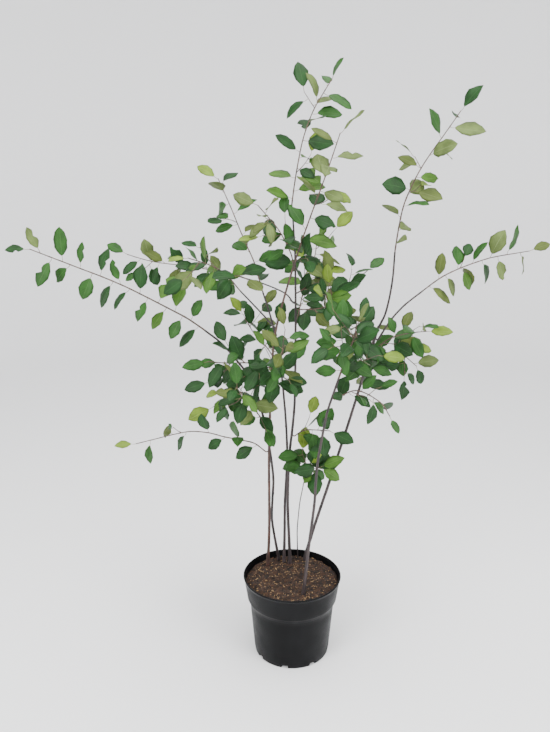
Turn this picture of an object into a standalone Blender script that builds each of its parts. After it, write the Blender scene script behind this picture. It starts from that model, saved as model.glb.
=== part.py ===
"""Potted serviceberry: a young shrub of seven slender stems in a black nursery pot.

Metres, +Z up. The origin is the middle of the pot's flat underside and -Y is the front.
"""

import math
import random
from collections import namedtuple

import bmesh
import bpy
from mathutils import Matrix, Vector
from mathutils.bvhtree import BVHTree

GAP = 0.0003

# Pot: a thin tapered wall under a deep collar, on a floor with drain slots round its edge
POT_HEIGHT = 0.222
RIM_RADIUS = 0.130
LIP_HEIGHT = 0.004
LIP_STEP = 0.0018
COLLAR_FOOT_Z = 0.158
COLLAR_FOOT_RADIUS = 0.1190
BODY_TOP_Z = 0.146
BODY_TOP_RADIUS = 0.1125
BASE_RADIUS = 0.0995
BASE_ROUND = 0.004
WALL = 0.0025
FLOOR = 0.012
POT_STEPS = 40
SLOT_COUNT = 8
SLOT_SIZE = (0.024, 0.017, 0.0085)
SLOT_FIRST_DEG = -102.0

# Soil: filled to a little under the rim, flat in the middle and sinking at its edge
SOIL_TOP = 0.209
SOIL_EDGE_Z = 0.204
SOIL_FLAT_RADIUS = 0.111

# Limbs: the root flare fades within a few centimetres of the flat cut at the soil
CUT_HEIGHT = 0.012
FLARE = 0.35
FLARE_FADE = 0.012
LIMB_SPACING = 0.055
LIMB_ROUNDNESS = 2

# Twigs and leaves
TWIG_SPACING = 0.045
TWIG_TIP_RADIUS = 0.0013
STEM_RADIUS = 0.0020
SHOOT_RADIUS = 0.0017
SHOOT_TIP_RADIUS = 0.0012
SPIRAL_DEG = 137.5
TWO_ROWS_DEG = 180.0
PETIOLE = 0.013
LEAF_LENGTH = 0.061
LEAF_WIDTH = 0.53
LEAF_THICKNESS = 0.0014
LEAF_WIDEST = 0.58
LEAF_FOLD = 0.14
LEAF_SUNK = 0.0004
LEAF_CLEARANCE = 0.0008
COLLAR = 0.005
FIRST_SHOOT = 0.12
SHOOT_SPAN = 0.75
SHOOT_SPREAD = (40, 70)
SHOOT_TURN = 40
BARE_FOOT = 0.6
LEAF_SPREAD = (45, 85)
TIP_SPREAD = (5, 30)
LEAF_TURN = 30
LEAF_DROOP = 0.35
ROOM_IN_LEAVES = 1.3
LIGHT = Vector((0.0, -0.75, 0.70))
LIGHT_SWING = 30.0
LEAF_ROLL = 24.0
UP = Vector((0.0, 0.0, 1.0))

Limb = namedtuple("Limb", "name knots foot_radius tip_radius on", defaults=(None,))
Mass = namedtuple("Mass", "name on knots reach gap rows first size shoots")

# Each stem stands on the soil at its first knot, and each bough starts on the limb it names
LIMBS = (
    Limb("stem_left", ((-0.065, 0.065), (-0.061, 0.060, 0.34), (-0.061, 0.045, 0.56),
                       (-0.053, 0.020, 0.79), (-0.044, 0.005, 0.885), (-0.024, -0.005, 0.97),
                       (0.003, -0.020, 1.065)), 0.0041, 0.0023),
    Limb("stem_arching", ((-0.036, 0.090), (-0.054, 0.086, 0.34), (-0.050, 0.075, 0.46),
                          (-0.061, 0.070, 0.56), (-0.074, 0.060, 0.635), (-0.087, 0.050, 0.695)),
         0.0036, 0.0031),
    Limb("stem_centre_left", ((-0.020, 0.080), (-0.018, 0.090, 0.40), (-0.013, 0.090, 0.53),
                              (-0.021, 0.092, 0.675), (-0.038, 0.100, 0.82), (-0.061, 0.105, 0.915),
                              (-0.077, 0.110, 0.965)), 0.0040, 0.0022),
    Limb("stem_centre", ((-0.004, 0.074), (-0.011, 0.076, 0.40), (-0.006, 0.073, 0.55),
                         (0.005, 0.070, 0.67), (0.006, 0.060, 0.90), (0.003, 0.055, 1.07),
                         (-0.005, 0.050, 1.18)), 0.0043, 0.0021),
    Limb("stem_front", ((0.029, -0.076), (0.039, -0.080, 0.34), (0.052, -0.092, 0.48),
                        (0.057, -0.102, 0.585), (0.078, -0.125, 0.73), (0.099, -0.140, 0.808)),
         0.0042, 0.0026),
    Limb("stem_right", ((0.039, 0.091), (0.060, 0.095, 0.30), (0.092, 0.095, 0.41), (0.130, 0.095, 0.545),
                        (0.162, 0.095, 0.66), (0.217, 0.095, 0.868)), 0.0043, 0.0033),
    Limb("shoot_young", ((0.018, 0.098), (0.016, 0.088, 0.31), (0.021, 0.070, 0.39), (0.036, 0.040, 0.50)),
         0.0016, 0.0013),
    Limb("bough_far_left", ((-0.104, 0.045, 0.747), (-0.136, 0.035, 0.797), (-0.176, 0.020, 0.850),
                            (-0.217, 0.000, 0.890)), 0.0030, 0.0024, "stem_arching"),
    Limb("bough_left_high", ((-0.068, 0.012, 0.918), (-0.095, 0.000, 0.950), (-0.128, -0.020, 0.990)),
         0.0022, 0.0018, ("stem_left", 0.895)),
    Limb("bough_left_long", ((-0.020, 0.080, 0.966), (-0.075, 0.085, 0.990), (-0.130, 0.110, 1.002)),
         0.0020, 0.0016, ("stem_centre", 0.945)),
    Limb("bough_right_up", ((0.237, 0.095, 0.916), (0.250, 0.098, 0.992), (0.254, 0.100, 1.067)),
         0.0028, 0.0023, "stem_right"),
    Limb("bough_right_long", ((0.250, 0.098, 0.893), (0.285, 0.102, 0.932), (0.330, 0.106, 0.968)),
         0.0026, 0.0021, ("stem_right", 0.845)),
)

# Each mass grows on a limb's tip, or on its side at a height, through the knots of its stem
MASSES = (
    Mass("leaves_top", "stem_centre", ((0.000, 0.045, 1.23), (0.018, 0.035, 1.33), (0.046, 0.020, 1.405),
                                       (0.080, 0.010, 1.460)),
         0.05, 0.022, SPIRAL_DEG, 0, 0.95, 2),
    Mass("leaves_top_right", "stem_left", ((0.018, -0.030, 1.113), (0.043, -0.045, 1.187),
                                           (0.071, -0.060, 1.267), (0.096, -0.072, 1.345)),
         0.05, 0.025, SPIRAL_DEG, 0, 1.05, 1),
    Mass("leaves_top_left", "stem_centre_left", ((-0.097, 0.120, 1.034), (-0.129, 0.130, 1.107),
                                                 (-0.152, 0.135, 1.164), (-0.187, 0.140, 1.244)),
         0.04, 0.026, SPIRAL_DEG, 0, 0.95, 1),
    Mass("leaves_far_left", "bough_far_left", ((-0.257, -0.015, 0.923), (-0.394, -0.060, 1.008),
                                               (-0.482, -0.090, 1.052), (-0.585, -0.120, 1.100)),
         0.05, 0.023, TWO_ROWS_DEG, 90, 0.95, 0),
    Mass("leaves_left_high", "bough_left_high", ((-0.155, -0.045, 1.028), (-0.190, -0.070, 1.056),
                                                 (-0.240, -0.100, 1.078)),
         0.08, 0.024, SPIRAL_DEG, 60, 0.95, 3),
    Mass("leaves_left_long", "bough_left_long", ((-0.244, 0.150, 1.021), (-0.363, 0.180, 1.032),
                                                 (-0.435, 0.195, 1.050)),
         0.06, 0.026, TWO_ROWS_DEG, 80, 0.85, 3),
    Mass("leaves_left_low", ("stem_left", 0.555), ((-0.098, 0.030, 0.583), (-0.174, 0.000, 0.613),
                                                   (-0.253, -0.030, 0.639), (-0.385, -0.070, 0.622)),
         0.05, 0.045, TWO_ROWS_DEG, 70, 0.90, 2),
    Mass("leaves_left_inner", ("stem_left", 0.790), ((-0.107, 0.000, 0.807), (-0.159, -0.030, 0.815),
                                                     (-0.205, -0.055, 0.826)),
         0.07, 0.024, SPIRAL_DEG, 20, 0.95, 4),
    Mass("leaves_left_under", ("stem_arching", 0.675), ((-0.137, 0.080, 0.707), (-0.190, 0.115, 0.690)),
         0.07, 0.026, SPIRAL_DEG, 90, 0.95, 3),
    Mass("leaves_back_left", ("stem_centre_left", 0.765), ((-0.065, 0.170, 0.800), (-0.110, 0.260, 0.830),
                                                           (-0.135, 0.330, 0.870)),
         0.08, 0.026, SPIRAL_DEG, 10, 0.95, 5),
    Mass("leaves_front_left", ("stem_arching", 0.640), ((-0.100, -0.025, 0.700), (-0.120, -0.130, 0.765),
                                                        (-0.130, -0.210, 0.810)),
         0.07, 0.028, SPIRAL_DEG, 0, 0.90, 3),
    Mass("leaves_front_centre", ("stem_left", 0.735), ((-0.045, -0.060, 0.790), (-0.035, -0.150, 0.850),
                                                       (-0.025, -0.230, 0.910)),
         0.08, 0.026, SPIRAL_DEG, 40, 0.95, 4),
    Mass("leaves_centre_high", ("stem_centre", 1.030), ((-0.010, 0.000, 1.080), (-0.035, -0.030, 1.130),
                                                        (-0.085, -0.040, 1.190)),
         0.07, 0.024, SPIRAL_DEG, 0, 0.95, 4),
    Mass("leaves_back_high", ("stem_centre", 0.890), ((0.030, 0.140, 0.970), (0.060, 0.220, 1.040),
                                                      (0.070, 0.290, 1.090)),
         0.08, 0.026, SPIRAL_DEG, 0, 1.0, 5),
    Mass("leaves_inner_right", ("stem_centre", 0.930), ((0.065, 0.020, 0.940), (0.090, 0.000, 0.960),
                                                        (0.085, -0.020, 1.000)),
         0.07, 0.024, SPIRAL_DEG, 0, 0.95, 3),
    Mass("leaves_back_right_high", ("stem_centre", 0.970), ((0.065, 0.140, 0.983), (0.141, 0.200, 0.967),
                                                            (0.205, 0.240, 1.000)),
         0.05, 0.035, SPIRAL_DEG, 0, 0.90, 2),
    Mass("leaves_centre_low", ("stem_centre", 0.590), ((0.030, 0.050, 0.612), (0.060, 0.030, 0.620),
                                                       (0.095, 0.010, 0.625)),
         0.04, 0.022, TWO_ROWS_DEG, 90, 1.0, 2),
    Mass("leaves_low", "shoot_young", ((0.038, 0.036, 0.512), (0.044, 0.030, 0.526)),
         0.045, 0.007, SPIRAL_DEG, 0, 1.05, 2),
    Mass("leaves_front_right", "stem_front", ((0.112, -0.160, 0.862), (0.125, -0.185, 0.910),
                                              (0.130, -0.200, 0.950)),
         0.08, 0.024, SPIRAL_DEG, 0, 1.0, 5),
    Mass("leaves_right_low", ("stem_front", 0.760), ((0.137, -0.170, 0.790), (0.185, -0.210, 0.776),
                                                     (0.205, -0.230, 0.750)),
         0.04, 0.028, SPIRAL_DEG, 0, 0.85, 2),
    Mass("leaves_right_mid", ("stem_right", 0.820), ((0.245, 0.060, 0.855), (0.290, 0.045, 0.872),
                                                     (0.330, 0.030, 0.880)),
         0.06, 0.028, SPIRAL_DEG, 0, 0.90, 2),
    Mass("leaves_right_under", ("stem_right", 0.780), ((0.240, 0.120, 0.800), (0.287, 0.140, 0.794),
                                                       (0.335, 0.155, 0.755)),
         0.06, 0.026, SPIRAL_DEG, 0, 0.90, 3),
    Mass("leaves_back_right", ("stem_right", 0.700), ((0.200, 0.180, 0.750), (0.230, 0.270, 0.800),
                                                      (0.235, 0.330, 0.840)),
         0.07, 0.028, SPIRAL_DEG, 0, 0.95, 4),
    Mass("leaves_right_inner", ("stem_right", 0.760), ((0.165, 0.040, 0.830), (0.150, -0.020, 0.880),
                                                       (0.150, -0.060, 0.920)),
         0.07, 0.026, SPIRAL_DEG, 0, 0.95, 3),
    Mass("leaves_right_up", "bough_right_up", ((0.270, 0.100, 1.179), (0.308, 0.095, 1.270),
                                               (0.357, 0.090, 1.346), (0.392, 0.083, 1.400)),
         0.045, 0.027, SPIRAL_DEG, 0, 1.0, 2),
    Mass("leaves_far_right", "bough_right_long", ((0.390, 0.110, 1.010), (0.489, 0.120, 1.047),
                                                  (0.600, 0.130, 1.066)),
         0.04, 0.024, TWO_ROWS_DEG, 90, 0.95, 1),
)


def clear_scene():
    for thing in list(bpy.data.objects):
        bpy.data.objects.remove(thing, do_unlink=True)


def new_collection(name):
    made = bpy.data.collections.new(name)
    bpy.context.scene.collection.children.link(made)
    return made


def new_material(name, colour, roughness):
    made = bpy.data.materials.new(name)
    made.use_nodes = True
    shader = made.node_tree.nodes["Principled BSDF"]
    shader.inputs["Base Color"].default_value = (*colour, 1.0)
    shader.inputs["Roughness"].default_value = roughness
    shader.inputs["Metallic"].default_value = 0.0
    return made


def add_object(name, data, collection, material=None):
    made = bpy.data.objects.new(name, data)
    collection.objects.link(made)
    if material is not None:
        data.materials.append(material)
    return made


def turned_solid(name, profile, collection, material):
    """A closed (radius, height) profile turned about Z, listed down its outer side."""
    mesh = bpy.data.meshes.new(name)
    rows = range(len(profile) - 1)
    mesh.from_pydata([(r, 0.0, z) for r, z in profile], [(i, i + 1) for i in rows], [])
    made = add_object(name, mesh, collection, material)
    screw = made.modifiers.new("Turn", "SCREW")
    screw.steps = screw.render_steps = POT_STEPS
    screw.use_merge_vertices = True
    screw.merge_threshold = 0.00001
    screw.use_smooth_shade = True
    return made


def inner_radius(z):
    """Radius of the pot's inner wall at a height, a wall's thickness inside the outline."""
    outline = ((0.0, BASE_RADIUS), (BODY_TOP_Z, BODY_TOP_RADIUS), (COLLAR_FOOT_Z, COLLAR_FOOT_RADIUS),
               (POT_HEIGHT, RIM_RADIUS - LIP_STEP))
    for (z0, r0), (z1, r1) in zip(outline, outline[1:]):
        if z <= z1:
            return r0 + (r1 - r0) * (z - z0) / (z1 - z0) - WALL
    return RIM_RADIUS - LIP_STEP - WALL


def pot_profile():
    inside = [(inner_radius(z), z) for z in (FLOOR, BODY_TOP_Z, COLLAR_FOOT_Z, POT_HEIGHT - LIP_HEIGHT)]
    under_lip = RIM_RADIUS - LIP_STEP
    outside = [
        (under_lip - WALL / 2, POT_HEIGHT),
        (RIM_RADIUS - LIP_STEP / 3, POT_HEIGHT),
        (RIM_RADIUS, POT_HEIGHT - LIP_HEIGHT / 3),
        (RIM_RADIUS, POT_HEIGHT - LIP_HEIGHT * 0.8),
        (under_lip, POT_HEIGHT - LIP_HEIGHT),
        (COLLAR_FOOT_RADIUS, COLLAR_FOOT_Z),
        (BODY_TOP_RADIUS, BODY_TOP_Z),
        (BASE_RADIUS + 0.0003, BASE_ROUND),
        (BASE_RADIUS - BASE_ROUND / 2, 0.0),
        (0.0, 0.0),
    ]
    return [(0.0, FLOOR), *inside, *outside]


def drain_slots(count, cutters):
    """Boxes across the pot's bottom edge, evenly spaced round it."""
    made = []
    for k in range(count):
        turn = math.radians(SLOT_FIRST_DEG + k * 360.0 / count)
        mesh = bpy.data.meshes.new(f"slot_{k + 1}")
        shape = bmesh.new()
        bmesh.ops.create_cube(shape, size=1.0)
        place = Matrix.Rotation(turn, 4, "Z") @ Matrix.Translation((BASE_RADIUS, 0.0, 0.0))
        size = Matrix.Diagonal((SLOT_SIZE[0], SLOT_SIZE[1], 2 * SLOT_SIZE[2], 1.0))
        bmesh.ops.transform(shape, matrix=place @ size, verts=shape.verts)
        shape.to_mesh(mesh)
        shape.free()
        cutter = add_object(f"slot_{k + 1}", mesh, cutters)
        cutter.hide_render = True
        cutter.display_type = "WIRE"
        made.append(cutter)
    return made


def make_pot(collection, cutters, material):
    pot = turned_solid("pot", pot_profile(), collection, material)
    for cutter in drain_slots(SLOT_COUNT, cutters):
        cut = pot.modifiers.new(cutter.name, "BOOLEAN")
        cut.operation = "DIFFERENCE"
        cut.object = cutter
    return pot


def make_soil(collection, material):
    """A plug of soil that fills the pot, a gap clear of its wall and floor."""
    wall = [(inner_radius(z) - GAP, z) for z in (SOIL_EDGE_Z, COLLAR_FOOT_Z, BODY_TOP_Z, FLOOR + GAP)]
    profile = [(0.0, SOIL_TOP), (SOIL_FLAT_RADIUS, SOIL_TOP), *wall, (0.0, FLOOR + GAP)]
    return turned_solid("soil", profile, collection, material)


def smooth_path(knots, spacing):
    """Points about a spacing apart on the Catmull-Rom curve through the knots."""
    knots = [Vector(k) for k in knots]
    ends = [2 * knots[0] - knots[1], *knots, 2 * knots[-1] - knots[-2]]
    points = [knots[0]]
    for a, b, c, d in zip(ends, ends[1:], ends[2:], ends[3:]):
        pieces = max(1, round((c - b).length / spacing))
        for k in range(1, pieces + 1):
            t = k / pieces
            points.append(0.5 * (2 * b + (c - a) * t + (2 * a - 5 * b + 4 * c - d) * t * t
                                 + (3 * b - a - 3 * c + d) * t ** 3))
    return points


def lengths_along(points):
    total = [0.0]
    for a, b in zip(points, points[1:]):
        total.append(total[-1] + (b - a).length)
    return total


def point_at(points, distance):
    """The point at a distance along a chain of straight pieces, and the direction there."""
    along = lengths_along(points)
    distance = min(max(distance, 0.0), along[-1])
    for k in range(1, len(points)):
        if distance <= along[k] or k == len(points) - 1:
            step = points[k] - points[k - 1]
            share = (distance - along[k - 1]) / step.length
            return points[k - 1] + step * share, step.normalized()
    return points[-1], (points[-1] - points[-2]).normalized()


def point_at_height(points, height):
    for a, b in zip(points, points[1:]):
        if a.z <= height <= b.z:
            return a + (b - a) * ((height - a.z) / (b.z - a.z)), (b - a).normalized()
    return points[-1], (points[-1] - points[-2]).normalized()


def tapered(points, first, last):
    """A radius for each point, from first to last in step with the distance along."""
    along = lengths_along(points)
    return [first + (last - first) * s / along[-1] for s in along]


def flared(points, radii):
    """The radii with a root flare that fades away from the first point."""
    along = lengths_along(points)
    return [r * (1.0 + FLARE * math.exp(-s / FLARE_FADE)) for r, s in zip(radii, along)]


def tube_curve(name, points, radii, collection, section=None, material=None):
    """A curve swept along the points: round, or with the section's outline."""
    curve = bpy.data.curves.new(name, "CURVE")
    curve.dimensions = "3D"
    curve.use_fill_caps = True
    if section is None:
        curve.bevel_depth = 1.0
        curve.bevel_resolution = LIMB_ROUNDNESS
    else:
        curve.bevel_mode = "OBJECT"
        curve.bevel_object = section
    spline = curve.splines.new("POLY")
    spline.points.add(len(points) - 1)
    for slot, point, radius in zip(spline.points, points, radii):
        slot.co = (*point, 1.0)
        slot.radius = radius
    return add_object(name, curve, collection, material)


def section_curve(cutters):
    """The three-sided outline of a twig, of radius 1."""
    curve = bpy.data.curves.new("twig_section", "CURVE")
    spline = curve.splines.new("POLY")
    spline.points.add(2)
    for k, slot in enumerate(spline.points):
        turn = k * math.tau / 3
        slot.co = (math.cos(turn), math.sin(turn), 0.0, 1.0)
    spline.use_cyclic_u = True
    made = add_object("twig_section", curve, cutters)
    made.hide_render = True
    made.display_type = "WIRE"
    return made


def as_mesh(curve_object):
    """The curve object made a closed mesh object of the same name."""
    graph = bpy.context.evaluated_depsgraph_get()
    mesh = bpy.data.meshes.new_from_object(curve_object.evaluated_get(graph))
    shape = bmesh.new()
    shape.from_mesh(mesh)
    bmesh.ops.remove_doubles(shape, verts=shape.verts, dist=0.00001)
    bmesh.ops.recalc_face_normals(shape, faces=shape.faces)
    shape.to_mesh(mesh)
    shape.free()
    name = curve_object.name
    collection = curve_object.users_collection[0]
    place = curve_object.matrix_world.copy()
    bpy.data.objects.remove(curve_object, do_unlink=True)
    made = add_object(name, mesh, collection)
    made.matrix_world = place
    return made


def surface_tree(thing):
    mesh = thing.data
    return BVHTree.FromPolygons([v.co for v in mesh.vertices], [tuple(p.vertices) for p in mesh.polygons])


def collar_on(on, first_knot, routes):
    """The short straight start of a side limb: a gap past a limb's tip, or beside it at a height."""
    if isinstance(on, str):
        tip = routes[on][0][-1]
        outward = (tip - routes[on][0][-2]).normalized()
        start = tip + outward * GAP
    else:
        name, height = on
        points, radii = routes[name]
        centre, axis = point_at_height(points, height)
        outward = Vector(first_knot) - centre
        outward = (outward - axis * outward.dot(axis)).normalized()
        beside = max(r for p, r in zip(points, radii) if abs(p.z - height) < 2 * LIMB_SPACING)
        start = centre + outward * (beside + GAP)
    return start, start + outward * COLLAR


def limb_route(limb, routes):
    """The points and radii of a limb. One that stands on the soil starts straight up."""
    if limb.on is None:
        x, y = limb.knots[0]
        foot = (x, y, SOIL_TOP + GAP)
        cut = (x, y, SOIL_TOP + CUT_HEIGHT)
        points = [Vector(foot), *smooth_path([cut, *limb.knots[1:]], LIMB_SPACING)]
        return points, flared(points, tapered(points, limb.foot_radius, limb.tip_radius))
    start, collar = collar_on(limb.on, limb.knots[0], routes)
    points = [start, *smooth_path([collar, *limb.knots], LIMB_SPACING)]
    return points, tapered(points, limb.foot_radius, limb.tip_radius)


def make_limbs(collection, material):
    """Every stem and bough as a tapering limb: their routes, and their surfaces' trees."""
    routes, trees = {}, []
    for limb in LIMBS:
        routes[limb.name] = limb_route(limb, routes)
        points, radii = routes[limb.name]
        made = as_mesh(tube_curve(limb.name, points, radii, collection))
        made.data.materials.append(material)
        made.data.shade_smooth()
        trees.append(surface_tree(made))
    return routes, trees


def turned_about(axis, degrees):
    """A direction square to the axis: 0 is level, and it turns about the axis from there."""
    level = axis.cross(UP)
    level = level.normalized() if level.length > 0.01 else Vector((1.0, 0.0, 0.0))
    return Matrix.Rotation(math.radians(degrees), 3, axis) @ level


Shoot = namedtuple("Shoot", "points radii")
Leaf = namedtuple("Leaf", "root along facing length width")


def side_shoot(mass, stem, k, rng):
    """The k-th of the side shoots, spaced along the stem and turned round it by the spiral angle."""
    share = FIRST_SHOOT + SHOOT_SPAN * (k + rng.uniform(0.2, 0.8)) / mass.shoots
    root, axis = point_at(stem, share * lengths_along(stem)[-1])
    outward = turned_about(axis, mass.first + (k + 1) * SPIRAL_DEG + rng.uniform(-SHOOT_TURN, SHOOT_TURN))
    spread = math.radians(rng.uniform(*SHOOT_SPREAD))
    way = (axis * math.cos(spread) + outward * math.sin(spread)).normalized()
    length = mass.reach * (1.1 - 0.4 * share) * rng.uniform(0.75, 1.25)
    middle = root + way * length * 0.5
    tip = middle + (way + UP * rng.uniform(-0.25, 0.45)).normalized() * length * 0.5
    points = [root, middle, tip]
    return Shoot(points, tapered(points, SHOOT_RADIUS, SHOOT_TIP_RADIUS))


def leaf_on(root, axis, outward, spread, size, rng):
    """A leaf that leaves the shoot at a spread from its axis, droops, and faces the light."""
    along = axis * math.cos(spread) + outward * math.sin(spread)
    along = (along - UP * rng.uniform(0.0, LEAF_DROOP)).normalized()
    light = Matrix.Rotation(math.radians(rng.gauss(0, LIGHT_SWING)), 3, UP) @ LIGHT
    facing = axis * 0.3 + light
    facing = (facing - along * facing.dot(along)).normalized()
    facing = Matrix.Rotation(math.radians(rng.gauss(0, LEAF_ROLL)), 3, along) @ facing
    length = LEAF_LENGTH * size * rng.uniform(0.8, 1.15)
    width = length * LEAF_WIDTH * rng.uniform(0.85, 1.15)
    return Leaf(root - along * LEAF_SUNK, along, facing, PETIOLE + length, width)


def leaf_at(k, shoot, first_at, mass, rng):
    """The k-th leaf of a shoot, on the next side round from the one before."""
    distance = first_at + mass.gap * (k + rng.uniform(-0.3, 0.3))
    root, axis = point_at(shoot.points, distance)
    outward = turned_about(axis, mass.first + k * mass.rows + rng.uniform(-LEAF_TURN, LEAF_TURN))
    left = lengths_along(shoot.points)[-1] - distance
    size = mass.size * min(1.0, 0.8 + left / (6 * mass.gap))
    return leaf_on(root, axis, outward, math.radians(rng.uniform(*LEAF_SPREAD)), size, rng)


def leaves_along(shoot, first_at, mass, rng):
    """Leaves one after another along a shoot, and one at its tip."""
    total = lengths_along(shoot.points)[-1]
    count = max(0, round((total - first_at) / mass.gap))
    made = [leaf_at(k, shoot, first_at, mass, rng) for k in range(count)]
    axis = (shoot.points[-1] - shoot.points[-2]).normalized()
    outward = turned_about(axis, mass.first + count * mass.rows)
    spread = math.radians(rng.uniform(*TIP_SPREAD))
    root = shoot.points[-1] - axis * TWIG_TIP_RADIUS
    made.append(leaf_on(root, axis, outward, spread, mass.size * 0.9, rng))
    return made


def leaf_shape(leaf):
    """A folded blade of eight faces, pointed at both ends and widest past its middle."""
    shape = bmesh.new()
    bmesh.ops.create_uvsphere(shape, u_segments=4, v_segments=2, radius=1.0)
    across = leaf.facing.cross(leaf.along)
    widest = leaf.root + leaf.along * (leaf.length * LEAF_WIDEST)
    for vertex in shape.verts:
        x, y, z = vertex.co
        if x < -0.5:
            vertex.co = leaf.root
        elif x > 0.5:
            vertex.co = leaf.root + leaf.along * leaf.length
        elif abs(z) > 0.5:
            vertex.co = widest + leaf.facing * (z * LEAF_THICKNESS / 2)
        else:
            vertex.co = widest + across * (y * leaf.width / 2) + leaf.facing * (LEAF_FOLD * leaf.width)
    return shape


def is_clear(corners, tree, trees):
    """Whether a piece stays off every tree: no crossing, and no corner within the clearance."""
    for other in trees:
        if tree.overlap(other):
            return False
        for corner in corners:
            if other.find_nearest(corner, LEAF_CLEARANCE)[0] is not None:
                return False
    return True


def in_space(corners, stem, room):
    """Whether every corner of a piece is within the mass's own space round its stem."""
    return all(min((corner - point).length for point in stem) <= room for corner in corners)


def keep_largest(mesh):
    """Fills sealed hollows and drops loose scraps: only the piece with most corners is kept."""
    shape = bmesh.new()
    shape.from_mesh(mesh)
    loose = set(shape.verts)
    groups = []
    while loose:
        group, edge = set(), [loose.pop()]
        while edge:
            vertex = edge.pop()
            group.add(vertex)
            near = {link.other_vert(vertex) for link in vertex.link_edges} & loose
            loose -= near
            edge.extend(near)
        groups.append(group)
    kept = max(groups, key=len)
    bmesh.ops.delete(shape, geom=[v for v in shape.verts if v not in kept], context="VERTS")
    shape.to_mesh(mesh)
    shape.free()


def fuse(stem, pieces):
    """One Boolean union of the stem with the collection of its pieces, which is then removed."""
    union = stem.modifiers.new("Fuse", "BOOLEAN")
    union.operation = "UNION"
    union.operand_type = "COLLECTION"
    union.collection = pieces
    union.solver = "MANIFOLD"
    bpy.context.view_layer.update()
    graph = bpy.context.evaluated_depsgraph_get()
    mesh = bpy.data.meshes.new_from_object(stem.evaluated_get(graph))
    stem.modifiers.clear()
    stem.data = mesh
    keep_largest(mesh)
    for piece in list(pieces.objects):
        bpy.data.objects.remove(piece, do_unlink=True)
    bpy.data.collections.remove(pieces)


def mass_plan(mass, routes):
    """The shoots of a mass, its stem first, each with its leaves. Its name seeds every draw."""
    start, collar = collar_on(mass.on, mass.knots[0], routes)
    points = [start, *smooth_path([collar, *mass.knots], TWIG_SPACING)]
    first = routes[mass.on][1][-1] if isinstance(mass.on, str) else STEM_RADIUS
    stem = Shoot(points, tapered(points, first, TWIG_TIP_RADIUS))
    rng = random.Random(mass.name)
    plan = [(stem, leaves_along(stem, mass.gap, mass, rng))]
    for k in range(mass.shoots):
        shoot = side_shoot(mass, points, k, rng)
        plan.append((shoot, leaves_along(shoot, BARE_FOOT * mass.gap, mass, rng)))
    return plan


def make_stem(mass, plan, section, collection, material):
    """The stem of a mass: the object that its side shoots and leaves are fused to."""
    stem = plan[0][0]
    body = as_mesh(tube_curve(mass.name, stem.points, stem.radii, collection, section))
    body.data.materials.append(material)
    return body


def grow_mass(mass, plan, body, trees, section):
    """Fuses the side shoots and leaves of a mass to its stem, leaving out what isn't clear."""
    stem = plan[0][0]
    room = mass.reach + ROOM_IN_LEAVES * LEAF_LENGTH + PETIOLE
    pieces = new_collection(mass.name + "_pieces")
    grown = [(plan[0][1], surface_tree(body))]
    for shoot, leaves in plan[1:]:
        twig = as_mesh(tube_curve("twig", shoot.points, shoot.radii, pieces, section))
        tree = surface_tree(twig)
        if is_clear([v.co for v in twig.data.vertices], tree, trees):
            grown.append((leaves, tree))
        else:
            bpy.data.objects.remove(twig, do_unlink=True)
    blades = []
    for leaves, own in grown:
        others = [tree for _, tree in grown if tree is not own]
        for leaf in leaves:
            shape = leaf_shape(leaf)
            tree = BVHTree.FromBMesh(shape)
            corners = [v.co for v in shape.verts]
            if is_clear(corners, tree, trees + blades + others) and in_space(corners, stem.points, room):
                mesh = bpy.data.meshes.new("leaf")
                shape.to_mesh(mesh)
                add_object("leaf", mesh, pieces)
                blades.append(tree)
            shape.free()
    fuse(body, pieces)


def main():
    clear_scene()
    plant = new_collection("potted_serviceberry")
    cutters = new_collection("cutters")
    plastic = new_material("pot_plastic", (0.022, 0.023, 0.025), 0.5)
    compost = new_material("potting_soil", (0.06, 0.035, 0.02), 0.95)
    bark = new_material("bark", (0.07, 0.045, 0.038), 0.75)
    foliage = new_material("foliage", (0.08, 0.20, 0.06), 0.55)
    make_pot(plant, cutters, plastic)
    make_soil(plant, compost)
    routes, trees = make_limbs(plant, bark)
    section = section_curve(cutters)
    plans = [mass_plan(mass, routes) for mass in MASSES]
    stems = [make_stem(mass, plan, section, plant, foliage) for mass, plan in zip(MASSES, plans)]
    others = [surface_tree(stem) for stem in stems]
    for k, mass in enumerate(MASSES):
        around = trees + others[:k] + others[k + 1:]
        grow_mass(mass, plans[k], stems[k], around, section)
        others[k] = surface_tree(stems[k])


main()
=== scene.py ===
"""Potted serviceberry, dressed: pot, soil, bark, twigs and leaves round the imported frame."""

import math
import random
from collections import namedtuple

import bpy
import numpy as np
from mathutils import Matrix, Vector


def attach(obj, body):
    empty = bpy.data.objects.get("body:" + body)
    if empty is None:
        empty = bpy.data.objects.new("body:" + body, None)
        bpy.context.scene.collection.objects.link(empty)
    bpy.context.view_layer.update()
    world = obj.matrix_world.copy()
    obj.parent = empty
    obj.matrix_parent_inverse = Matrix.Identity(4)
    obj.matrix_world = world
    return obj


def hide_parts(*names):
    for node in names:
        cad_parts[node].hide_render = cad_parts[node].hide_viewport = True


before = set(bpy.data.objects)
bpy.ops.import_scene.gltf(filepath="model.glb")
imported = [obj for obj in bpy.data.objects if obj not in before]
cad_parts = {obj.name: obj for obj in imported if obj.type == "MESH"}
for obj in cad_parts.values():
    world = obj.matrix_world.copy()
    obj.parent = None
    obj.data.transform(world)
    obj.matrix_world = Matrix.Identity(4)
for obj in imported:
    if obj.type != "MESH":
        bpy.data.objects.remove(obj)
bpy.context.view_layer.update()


# The camera stands 1.7 m in front of the pot at chest height and looks a little down, as
# the photograph does. The studio is a pale paper bowl, lit softly from above and in front.

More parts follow.
